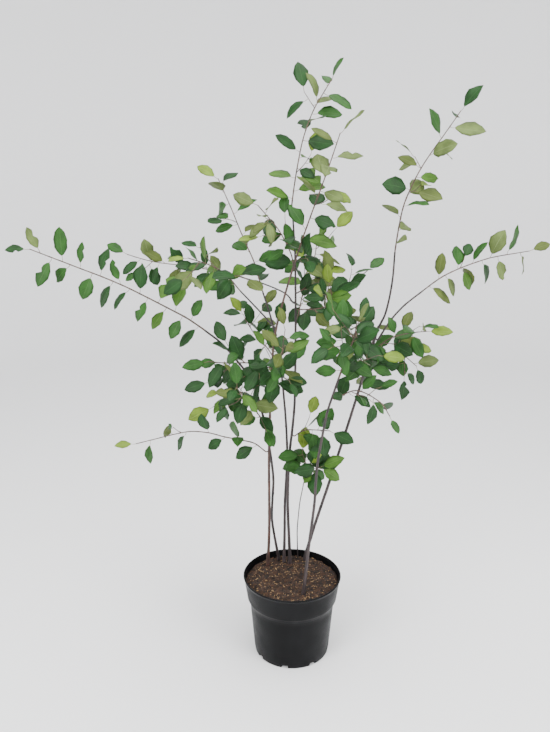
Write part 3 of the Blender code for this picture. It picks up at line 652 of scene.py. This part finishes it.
# Each mass grows on a limb's tip, or on its side at a height, through the knots of its stem
MASSES = (
    Mass("leaves_top", "stem_centre", ((0.000, 0.045, 1.23), (0.018, 0.035, 1.33), (0.046, 0.020, 1.405),
                                       (0.080, 0.010, 1.460)),
         0.05, 0.022, SPIRAL_DEG, 0, 0.95, 2),
    Mass("leaves_top_right", "stem_left", ((0.018, -0.030, 1.113), (0.043, -0.045, 1.187),
                                           (0.071, -0.060, 1.267), (0.096, -0.072, 1.345)),
         0.05, 0.025, SPIRAL_DEG, 0, 1.05, 1),
    Mass("leaves_top_left", "stem_centre_left", ((-0.097, 0.120, 1.034), (-0.129, 0.130, 1.107),
                                                 (-0.152, 0.135, 1.164), (-0.187, 0.140, 1.244)),
         0.04, 0.026, SPIRAL_DEG, 0, 0.95, 1),
    Mass("leaves_far_left", "bough_far_left", ((-0.257, -0.015, 0.923), (-0.394, -0.060, 1.008),
                                               (-0.482, -0.090, 1.052), (-0.585, -0.120, 1.100)),
         0.05, 0.023, TWO_ROWS_DEG, 90, 0.95, 0),
    Mass("leaves_left_high", "bough_left_high", ((-0.155, -0.045, 1.028), (-0.190, -0.070, 1.056),
                                                 (-0.240, -0.100, 1.078)),
         0.08, 0.024, SPIRAL_DEG, 60, 0.95, 3),
    Mass("leaves_left_long", "bough_left_long", ((-0.244, 0.150, 1.021), (-0.363, 0.180, 1.032),
                                                 (-0.435, 0.195, 1.050)),
         0.06, 0.026, TWO_ROWS_DEG, 80, 0.85, 3),
    Mass("leaves_left_low", ("stem_left", 0.555), ((-0.098, 0.030, 0.583), (-0.174, 0.000, 0.613),
                                                   (-0.253, -0.030, 0.639), (-0.385, -0.070, 0.622)),
         0.05, 0.045, TWO_ROWS_DEG, 70, 0.90, 2),
    Mass("leaves_left_inner", ("stem_left", 0.790), ((-0.107, 0.000, 0.807), (-0.159, -0.030, 0.815),
                                                     (-0.205, -0.055, 0.826)),
         0.07, 0.024, SPIRAL_DEG, 20, 0.95, 4),
    Mass("leaves_left_under", ("stem_arching", 0.675), ((-0.137, 0.080, 0.707), (-0.190, 0.115, 0.690)),
         0.07, 0.026, SPIRAL_DEG, 90, 0.95, 3),
    Mass("leaves_back_left", ("stem_centre_left", 0.765), ((-0.065, 0.170, 0.800), (-0.110, 0.260, 0.830),
                                                           (-0.135, 0.330, 0.870)),
         0.08, 0.026, SPIRAL_DEG, 10, 0.95, 5),
    Mass("leaves_front_left", ("stem_arching", 0.640), ((-0.100, -0.025, 0.700), (-0.120, -0.130, 0.765),
                                                        (-0.130, -0.210, 0.810)),
         0.07, 0.028, SPIRAL_DEG, 0, 0.90, 3),
    Mass("leaves_front_centre", ("stem_left", 0.735), ((-0.045, -0.060, 0.790), (-0.035, -0.150, 0.850),
                                                       (-0.025, -0.230, 0.910)),
         0.08, 0.026, SPIRAL_DEG, 40, 0.95, 4),
    Mass("leaves_centre_high", ("stem_centre", 1.030), ((-0.010, 0.000, 1.080), (-0.035, -0.030, 1.130),
                                                        (-0.085, -0.040, 1.190)),
         0.07, 0.024, SPIRAL_DEG, 0, 0.95, 4),
    Mass("leaves_back_high", ("stem_centre", 0.890), ((0.030, 0.140, 0.970), (0.060, 0.220, 1.040),
                                                      (0.070, 0.290, 1.090)),
         0.08, 0.026, SPIRAL_DEG, 0, 1.0, 5),
    Mass("leaves_inner_right", ("stem_centre", 0.930), ((0.065, 0.020, 0.940), (0.090, 0.000, 0.960),
                                                        (0.085, -0.020, 1.000)),
         0.07, 0.024, SPIRAL_DEG, 0, 0.95, 3),
    Mass("leaves_back_right_high", ("stem_centre", 0.970), ((0.065, 0.140, 0.983), (0.141, 0.200, 0.967),
                                                            (0.205, 0.240, 1.000)),
         0.05, 0.035, SPIRAL_DEG, 0, 0.90, 2),
    Mass("leaves_centre_low", ("stem_centre", 0.590), ((0.030, 0.050, 0.612), (0.060, 0.030, 0.620),
                                                       (0.095, 0.010, 0.625)),
         0.04, 0.022, TWO_ROWS_DEG, 90, 1.0, 2),
    Mass("leaves_low", "shoot_young", ((0.038, 0.036, 0.512), (0.044, 0.030, 0.526)),
         0.045, 0.007, SPIRAL_DEG, 0, 1.05, 2),
    Mass("leaves_front_right", "stem_front", ((0.112, -0.160, 0.862), (0.125, -0.185, 0.910),
                                              (0.130, -0.200, 0.950)),
         0.08, 0.024, SPIRAL_DEG, 0, 1.0, 5),
    Mass("leaves_right_low", ("stem_front", 0.760), ((0.137, -0.170, 0.790), (0.185, -0.210, 0.776),
                                                     (0.205, -0.230, 0.750)),
         0.04, 0.028, SPIRAL_DEG, 0, 0.85, 2),
    Mass("leaves_right_mid", ("stem_right", 0.820), ((0.245, 0.060, 0.855), (0.290, 0.045, 0.872),
                                                     (0.330, 0.030, 0.880)),
         0.06, 0.028, SPIRAL_DEG, 0, 0.90, 2),
    Mass("leaves_right_under", ("stem_right", 0.780), ((0.240, 0.120, 0.800), (0.287, 0.140, 0.794),
                                                       (0.335, 0.155, 0.755)),
         0.06, 0.026, SPIRAL_DEG, 0, 0.90, 3),
    Mass("leaves_back_right", ("stem_right", 0.700), ((0.200, 0.180, 0.750), (0.230, 0.270, 0.800),
                                                      (0.235, 0.330, 0.840)),
         0.07, 0.028, SPIRAL_DEG, 0, 0.95, 4),
    Mass("leaves_right_inner", ("stem_right", 0.760), ((0.165, 0.040, 0.830), (0.150, -0.020, 0.880),
                                                       (0.150, -0.060, 0.920)),
         0.07, 0.026, SPIRAL_DEG, 0, 0.95, 3),
    Mass("leaves_right_up", "bough_right_up", ((0.270, 0.100, 1.179), (0.308, 0.095, 1.270),
                                               (0.357, 0.090, 1.346), (0.392, 0.083, 1.400)),
         0.045, 0.027, SPIRAL_DEG, 0, 1.0, 2),
    Mass("leaves_far_right", "bough_right_long", ((0.390, 0.110, 1.010), (0.489, 0.120, 1.047),
                                                  (0.600, 0.130, 1.066)),
         0.04, 0.024, TWO_ROWS_DEG, 90, 0.95, 1),
)


def turned_about(axis, degrees):
    """A direction square to the axis: 0 is level, and it turns about the axis from there."""
    level = axis.cross(UP)
    level = level.normalized() if level.length > 0.01 else Vector((1.0, 0.0, 0.0))
    return Matrix.Rotation(math.radians(degrees), 3, axis) @ level


def side_shoot(mass, stem, k, rng):
    """The k-th of the side shoots, spaced along the stem and turned round it by the spiral angle."""
    share = FIRST_SHOOT + SHOOT_SPAN * (k + rng.uniform(0.2, 0.8)) / mass.shoots
    root, axis = point_at(stem, share * lengths_along(stem)[-1])
    outward = turned_about(axis, mass.first + (k + 1) * SPIRAL_DEG + rng.uniform(-SHOOT_TURN, SHOOT_TURN))
    spread = math.radians(rng.uniform(*SHOOT_SPREAD))
    way = (axis * math.cos(spread) + outward * math.sin(spread)).normalized()
    length = mass.reach * (1.1 - 0.4 * share) * rng.uniform(0.75, 1.25)
    middle = root + way * length * 0.5
    tip = middle + (way + UP * rng.uniform(-0.25, 0.45)).normalized() * length * 0.5
    points = [root, middle, tip]
    return Shoot(points, tapered(points, SHOOT_RADIUS, SHOOT_TIP_RADIUS))


def leaf_on(root, axis, outward, spread, size, rng):
    """A leaf that leaves the shoot at a spread from its axis, droops, and faces the light."""
    along = axis * math.cos(spread) + outward * math.sin(spread)
    along = (along - UP * rng.uniform(0.0, LEAF_DROOP)).normalized()
    light = Matrix.Rotation(math.radians(rng.gauss(0, LIGHT_SWING)), 3, UP) @ LIGHT
    facing = axis * 0.3 + light
    facing = (facing - along * facing.dot(along)).normalized()
    facing = Matrix.Rotation(math.radians(rng.gauss(0, LEAF_ROLL)), 3, along) @ facing
    length = LEAF_LENGTH * size * rng.uniform(0.8, 1.15)
    width = length * LEAF_WIDTH * rng.uniform(0.85, 1.15)
    return Leaf(root - along * LEAF_SUNK, along, facing, PETIOLE + length, width)


def leaf_at(k, shoot, first_at, mass, rng):
    """The k-th leaf of a shoot, on the next side round from the one before."""
    distance = first_at + mass.gap * (k + rng.uniform(-0.3, 0.3))
    root, axis = point_at(shoot.points, distance)
    outward = turned_about(axis, mass.first + k * mass.rows + rng.uniform(-LEAF_TURN, LEAF_TURN))
    left = lengths_along(shoot.points)[-1] - distance
    size = mass.size * min(1.0, 0.8 + left / (6 * mass.gap))
    return leaf_on(root, axis, outward, math.radians(rng.uniform(*LEAF_SPREAD)), size, rng)


def leaves_along(shoot, first_at, mass, rng):
    """Leaves one after another along a shoot, and one at its tip."""
    total = lengths_along(shoot.points)[-1]
    count = max(0, round((total - first_at) / mass.gap))
    made = [leaf_at(k, shoot, first_at, mass, rng) for k in range(count)]
    axis = (shoot.points[-1] - shoot.points[-2]).normalized()
    outward = turned_about(axis, mass.first + count * mass.rows)
    spread = math.radians(rng.uniform(*TIP_SPREAD))
    root = shoot.points[-1] - axis * TWIG_TIP_RADIUS
    made.append(leaf_on(root, axis, outward, spread, mass.size * 0.9, rng))
    return made


def mass_plan(mass, routes):
    """The shoots of a mass, its stem first, each with its leaves. Its name seeds every draw."""
    start, collar = collar_on(mass.on, mass.knots[0], routes)
    points = [start, *smooth_path([collar, *mass.knots], TWIG_SPACING)]
    first = routes[mass.on][1][-1] if isinstance(mass.on, str) else STEM_RADIUS
    stem = Shoot(points, tapered(points, first, TWIG_TIP_RADIUS))
    rng = random.Random(mass.name)
    plan = [(stem, leaves_along(stem, mass.gap, mass, rng))]
    for k in range(mass.shoots):
        shoot = side_shoot(mass, points, k, rng)
        plan.append((shoot, leaves_along(shoot, BARE_FOOT * mass.gap, mass, rng)))
    return plan


plans = {mass.name: mass_plan(mass, routes) for mass in MASSES}

# The scene's leaders and shoots are slimmer than the solids'. Its blades are a little larger,
# get smaller again towards the front, and turn part of the way to the light from the front.
LEADER_SLIM = 0.85
TWIG_SLIM = 0.62
LEADER_SIDES = 8
TWIG_SIDES = 6
BUD_SPACING = 0.024
BUD_SWELL = 0.22
STALK_RADIUS = 0.00055
STALK_BOW = 0.0016
STALK_INTO_BLADE = 0.002
STALK_SIDES = 4
BLADE_LONGER = 1.06
BLADE_WIDER = 1.10
FRONT_LIGHT = (0.0, -0.93, 0.37)
FRONT_TURN = 0.55
FRONT_REACH = 0.25
FRONT_SHORTER = 0.12
FRONT_NARROWER = 0.18


def twig_mesh(shoot, sides, slim):
    """A shoot as a slimmer round tube than the solids', with a swelling at each bud."""
    coarse = np.array(lengths_along(shoot.points))
    fine, along = fine_path(shoot.points, FINE_SPACING)
    radii = np.interp(along, coarse * along[-1] / coarse[-1], shoot.radii) * slim
    from_bud = (along % BUD_SPACING) / BUD_SPACING - 0.5
    radii = radii * (1.0 + BUD_SWELL * np.exp(-(from_bud / 0.1) ** 2))
    body, rows = tube_points(fine, radii, sides)
    return body, grid_faces(rows, sides, True)


def all_leaves():
    """Every leaf, after the number of its mass, of its shoot and of its place on the shoot, and
    the count of leaves there."""
    for number, mass in enumerate(MASSES):
        for spray, (_, leaves) in enumerate(plans[mass.name]):
            for place, leaf in enumerate(leaves):
                yield number, spray, place, len(leaves), leaf


rows_of_leaves = list(all_leaves())
leaf_root = np.array([leaf.root for *_, leaf in rows_of_leaves])
leaf_along = np.array([leaf.along for *_, leaf in rows_of_leaves])
leaf_facing = np.array([leaf.facing for *_, leaf in rows_of_leaves])
to_front = np.clip(-leaf_root[:, 1] / FRONT_REACH, 0.0, 1.0)
leaf_length = BLADE_LONGER * np.array([leaf.length - PETIOLE for *_, leaf in rows_of_leaves])
leaf_width = BLADE_WIDER * np.array([leaf.width for *_, leaf in rows_of_leaves])
leaf_length = leaf_length * (1.0 - FRONT_SHORTER * to_front)
leaf_width = leaf_width * (1.0 - FRONT_NARROWER * to_front)
front = np.array(FRONT_LIGHT) - leaf_along * (leaf_along @ np.array(FRONT_LIGHT))[:, None]
leaf_facing = leaf_facing + FRONT_TURN * front
leaf_facing = leaf_facing / np.linalg.norm(leaf_facing, axis=1)[:, None]
leaf_across = np.cross(leaf_facing, leaf_along)
leaf_count = len(rows_of_leaves)

# A stalk is a curve from its twig to the foot of the blade, bowed a little downwards
STALK_ROWS = 5
t = np.linspace(0.0, 1.0, STALK_ROWS)[None, :, None]
bow = STALK_BOW * np.sin(math.pi * t)
straight = leaf_root[:, None] + leaf_along[:, None] * (t * (PETIOLE + STALK_INTO_BLADE))
stalk_line = straight - leaf_facing[:, None] * bow
stalk_angle = np.arange(STALK_SIDES) * 2 * math.pi / STALK_SIDES
stalk_ring = (leaf_across[:, None, None] * np.cos(stalk_angle)[None, None, :, None]
              + leaf_facing[:, None, None] * np.sin(stalk_angle)[None, None, :, None])
stalk_radius = STALK_RADIUS * (1.25 - 0.35 * t[..., None])
stalk_points = (stalk_line[:, :, None] + stalk_ring * stalk_radius).reshape(-1, 3)
stalk_grid = grid_faces(STALK_ROWS, STALK_SIDES, True)
stalk_first = STALK_ROWS * STALK_SIDES * np.arange(leaf_count)
stalk_faces = (stalk_grid[None] + stalk_first[:, None, None]).reshape(-1, 4)

twig_parts = []
for mass in MASSES:
    for number, (shoot, _) in enumerate(plans[mass.name]):
        sides, slim = (LEADER_SIDES, LEADER_SLIM) if number == 0 else (TWIG_SIDES, TWIG_SLIM)
        twig_parts.append(twig_mesh(shoot, sides, slim))
twig_points, twig_faces = join_parts(twig_parts)
twig_bark = bark_material("twig_bark", (0.030, 0.015, 0.011), (0.085, 0.044, 0.028))
twigs = mesh_object("twigs", twig_points, twig_faces, [twig_bark])
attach(twigs, "root")
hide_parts(*[mass.name for mass in MASSES])
stalk_skin, tree, shader = plain_material("leaf_stalk", (0.13, 0.09, 0.04), 0.55)
blush = mottled(tree, 40.0, (0.11, 0.06, 0.035), (0.14, 0.12, 0.045))
tree.links.new(blush["Colour"], shader.inputs["Base Color"])
stalks = mesh_object("leaf_stalks", stalk_points, stalk_faces, [stalk_skin])
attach(stalks, "root")


# Leaves: oval with a short point and a finely toothed edge, folded along the midrib and
# curled back at the tip. Tops are mostly green and undersides sage or olive; some are bitten.

ROWS = np.array([0.0, 0.05, 0.15, 0.28, 0.42, 0.56, 0.70, 0.82, 0.92, 1.0])
COLUMNS = np.array([-1.0, -0.55, 0.0, 0.55, 1.0])
BLADE_THICKNESS = 0.0004
FOOT_FULLNESS = 0.96
SIDE_FULLNESS = 0.78
EDGE_LEAST = 0.02
FOLD = (0.05, 0.30)
CURL_MEAN = 0.13
CURL_SPREAD = 0.08
CURL_POWER = 2.2
CURL_SHORTENS = 0.35
WAVE = 0.06
SWAY = 0.04
TOOTH = 0.045
BITE_DEPTH = 0.75
BITE_WIDTH = 0.11
BITTEN_FAR_LEFT = 0.45
BITTEN_ELSEWHERE = 0.10
leaf_rng = np.random.default_rng(77)
fold = leaf_rng.uniform(*FOLD, leaf_count)
curl = leaf_rng.normal(CURL_MEAN, CURL_SPREAD, leaf_count)
wave = leaf_rng.uniform(-WAVE, WAVE, leaf_count)
sway = leaf_rng.normal(0.0, SWAY, leaf_count)

# Along a blade t runs from 0 to 1 and across it u from -1 to 1. Half its width follows the sine
# of pi times t, with powers that fill it out. For the teeth, the edge goes a little out and in
# from row to row.
t = ROWS[None, :, None]
u = COLUMNS[None, None, :]
half = np.sin(math.pi * t ** FOOT_FULLNESS) ** SIDE_FULLNESS + EDGE_LEAST
toothed = half * (1.0 + TOOTH * np.where(np.arange(len(ROWS)) % 2, 1.0, -1.0)[None, :, None])
half = np.where(np.abs(u) == 1.0, toothed, half)

# A bite is a scoop out of one margin: on nearly half the leaves at the far left, and a few others
far_left = np.array([MASSES[number].name == "leaves_far_left" for number, *_ in rows_of_leaves])
bite_chance = np.where(far_left, BITTEN_FAR_LEFT, BITTEN_ELSEWHERE)
bitten = leaf_rng.uniform(0, 1, leaf_count) < bite_chance
bite_at = leaf_rng.uniform(0.3, 0.95, leaf_count)[:, None, None]
bite_side = np.where(leaf_rng.uniform(0, 1, leaf_count) < 0.5, -1.0, 1.0)[:, None, None]
scoop = BITE_DEPTH * np.exp(-((t - bite_at) / BITE_WIDTH) ** 2)
scoop = scoop * (u * bite_side > 0.1) * bitten[:, None, None]
half = half * (1.0 - scoop)

# The blade sways sideways with the square of t. It lifts with u for its fold, falls with a power
# of t for the curl of its tip, and waves with the sine of 3 pi t along its edges.
across = u * half * (leaf_width / 2)[:, None, None] + (sway * leaf_length)[:, None, None] * t * t
lift = (np.abs(u) * half * (leaf_width * fold / 2)[:, None, None]
        - (curl * leaf_length)[:, None, None] * t ** CURL_POWER
        + (wave * leaf_width)[:, None, None] * np.sin(3 * math.pi * t) * u)
shortened = 1.0 - CURL_SHORTENS * np.abs(curl)[:, None, None] * t
along = PETIOLE + t * leaf_length[:, None, None] * shortened + 0 * u
top = (leaf_root[:, None, None] + leaf_along[:, None, None] * along[..., None]
       + leaf_across[:, None, None] * across[..., None] + leaf_facing[:, None, None] * lift[..., None])
under = top - leaf_facing[:, None, None] * BLADE_THICKNESS

# The top and the underside share the points of the edge, so the blade is closed
rows, columns = len(ROWS), len(COLUMNS)
inner = under[:, 1:-1, 1:-1].reshape(leaf_count, -1, 3)
leaf_points = np.concatenate([top.reshape(leaf_count, -1, 3), inner], axis=1)
top_index = np.arange(rows * columns).reshape(rows, columns)
under_index = top_index.copy()
under_index[1:-1, 1:-1] = rows * columns + np.arange(inner.shape[1]).reshape(rows - 2, columns - 2)


def quads(index, upwards):
    """Quads of a grid of point numbers, facing up out of the blade or down."""
    a, b, c, d = index[:-1, :-1], index[:-1, 1:], index[1:, 1:], index[1:, :-1]
    order = (a, b, c, d) if upwards else (a, d, c, b)
    return np.stack(order, axis=-1).reshape(-1, 4)


one_leaf = np.concatenate([quads(top_index, True), quads(under_index, False)])
per_leaf = leaf_points.shape[1]
leaf_faces = (one_leaf[None] + per_leaf * np.arange(leaf_count)[:, None, None]).reshape(-1, 4)


VEIN_SLANT = -0.35
VEIN_WAVES = 52.0
SIDE_VEIN = 0.35


def math_node(tree, operation, *values):
    """The output of a Math node. Each value is a number, or an output to link to the next input."""
    node = tree.nodes.new("ShaderNodeMath")
    node.operation = operation
    for socket, value in zip(node.inputs, values):
        if isinstance(value, float):
            socket.default_value = value
        else:
            tree.links.new(value, socket)
    return node.outputs["Value"]


def rising(tree, value, start, end):
    """The output of a Map Range node: 0 where the value is at the start or short of it, and 1
    where it is at the end or past it."""
    node = tree.nodes.new("ShaderNodeMapRange")
    node.inputs["From Min"].default_value = start
    node.inputs["From Max"].default_value = end
    tree.links.new(value, node.inputs["Value"])
    return node.outputs["Result"]


def veins_group():
    """Veins, as a mask from the blade's UV map: 1 on the midrib, where x is near 0, and the side
    vein's strength where the sine of waves times (y + slant times the size of x) is near 1."""
    number = "NodeSocketFloat"
    group, given, taken = empty_group("leaf_veins", (("Slant", number), ("Waves", number),
                                                     ("Side Vein", number)), (("Lines", number),))
    uv = group.nodes.new("ShaderNodeUVMap")
    uv.uv_map = "blade"
    split = group.nodes.new("ShaderNodeSeparateXYZ")
    group.links.new(uv.outputs["UV"], split.inputs["Vector"])
    from_rib = math_node(group, "ABSOLUTE", split.outputs["X"])
    slanted = math_node(group, "MULTIPLY_ADD", from_rib, given["Slant"], split.outputs["Y"])
    wave = math_node(group, "SINE", math_node(group, "MULTIPLY", slanted, given["Waves"]))
    side_veins = math_node(group, "MULTIPLY", rising(group, wave, 0.86, 1.0), given["Side Vein"])
    midrib = rising(group, from_rib, 0.06, 0.015)
    group.links.new(math_node(group, "MAXIMUM", side_veins, midrib), taken["Lines"])
    return group


VEINS = veins_group()


def leaf_material(name, colour, vein, roughness):
    """A leaf skin: its colour mottled by noise, with a pale midrib and side veins and a relief
    that sinks along them."""
    made, tree, shader = plain_material(name, colour, roughness)
    shader.inputs["Specular IOR Level"].default_value = 0.20
    darker, lighter = [0.72 * c for c in colour], [1.22 * c for c in colour]
    skin = mottled(tree, 38.0, darker, lighter, (0.35, 0.68), 2.0)
    veins = placed_group(tree, VEINS, Slant=VEIN_SLANT, Waves=VEIN_WAVES, Side_Vein=SIDE_VEIN)
    mix = tree.nodes.new("ShaderNodeMix")
    mix.data_type = "RGBA"
    mix.inputs["B"].default_value = (*vein, 1.0)
    tree.links.new(veins["Lines"], mix.inputs["Factor"])
    tree.links.new(skin["Colour"], mix.inputs["A"])
    tree.links.new(mix.outputs["Result"], shader.inputs["Base Color"])
    bump_from(tree, shader, veins["Lines"], 0.0005, 0.6, invert=True)
    return made


TINTS = (
    ("leaf_deep", (0.009, 0.042, 0.007), (0.020, 0.066, 0.015), 0.50),
    ("leaf_green", (0.018, 0.072, 0.009), (0.034, 0.102, 0.020), 0.50),
    ("leaf_fresh", (0.045, 0.115, 0.012), (0.075, 0.155, 0.028), 0.52),
    ("leaf_sage", (0.090, 0.130, 0.034), (0.130, 0.178, 0.060), 0.62),
    ("leaf_olive", (0.068, 0.096, 0.018), (0.104, 0.136, 0.038), 0.60),
    ("leaf_young", (0.125, 0.200, 0.018), (0.170, 0.250, 0.040), 0.55),
)
DEEP, GREEN, FRESH, SAGE, OLIVE, YOUNG = range(len(TINTS))
PALE_FROM_Z = 0.72
PALE_RISE = 1.05
PALE_LEAST = 0.10
PALE_MOST = 0.62
LEAVES_ALIKE = 3
OWN_TINT_CHANCE = 0.35
YOUNG_TIP_CHANCE = 0.24
SAGE_UNDER_CHANCE = 0.6
tint_rng = random.Random(9)


def drawn_tint(pale, greens):
    """A tint by weight: the three greens by the weights given, sage and olive by the pale share."""
    return tint_rng.choices((DEEP, GREEN, FRESH, SAGE, OLIVE), (*greens, pale * 0.6, pale * 0.4))[0]


# A few neighbours on a shoot share one tint. More of them are pale the higher they grow, and
# a leaf at the end of a shoot may be young.
top_tint, under_tint = [], []
shared_tint = {}
for number, spray, place, total, leaf in rows_of_leaves:
    pale = min(PALE_MOST, max(PALE_LEAST, (leaf.root.z - PALE_FROM_Z) * PALE_RISE))
    green = 1 - pale
    key = (number, spray, place // LEAVES_ALIKE)
    if key not in shared_tint:
        shared_tint[key] = drawn_tint(pale, (green * 0.55, green * 0.33, green * 0.12))
    tint = shared_tint[key]
    if tint_rng.random() < OWN_TINT_CHANCE:
        tint = drawn_tint(pale, (green * 0.6, green * 0.3, 0.1))
    if place == total - 1 and tint_rng.random() < YOUNG_TIP_CHANCE:
        tint = YOUNG
    top_tint.append(tint)
    if tint != YOUNG:
        tint = SAGE if tint_rng.random() < SAGE_UNDER_CHANCE else OLIVE
    under_tint.append(tint)
leaf_skins = [leaf_material(*tint) for tint in TINTS]
half_count = len(one_leaf) // 2
tint_table = np.repeat(np.stack([top_tint, under_tint], axis=1), half_count, axis=1)
leaves = mesh_object("leaf_blades", leaf_points.reshape(-1, 3), leaf_faces, leaf_skins)
leaves.data.polygons.foreach_set("material_index", tint_table.reshape(-1).astype(np.int32))

# The UV map runs from -1 to 1 across a blade and from 0 to 1 along it, alike on both faces
grid_uv = np.stack([u + 0 * t, t + 0 * u], axis=-1)
blade_uv = np.concatenate([grid_uv.reshape(-1, 2), grid_uv[:, 1:-1, 1:-1].reshape(-1, 2)])
uv_layer = leaves.data.uv_layers.new(name="blade")
corner_uv = blade_uv[one_leaf.reshape(-1)]
uv_layer.data.foreach_set("uv", np.tile(corner_uv, (leaf_count, 1)).reshape(-1))
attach(leaves, "root")
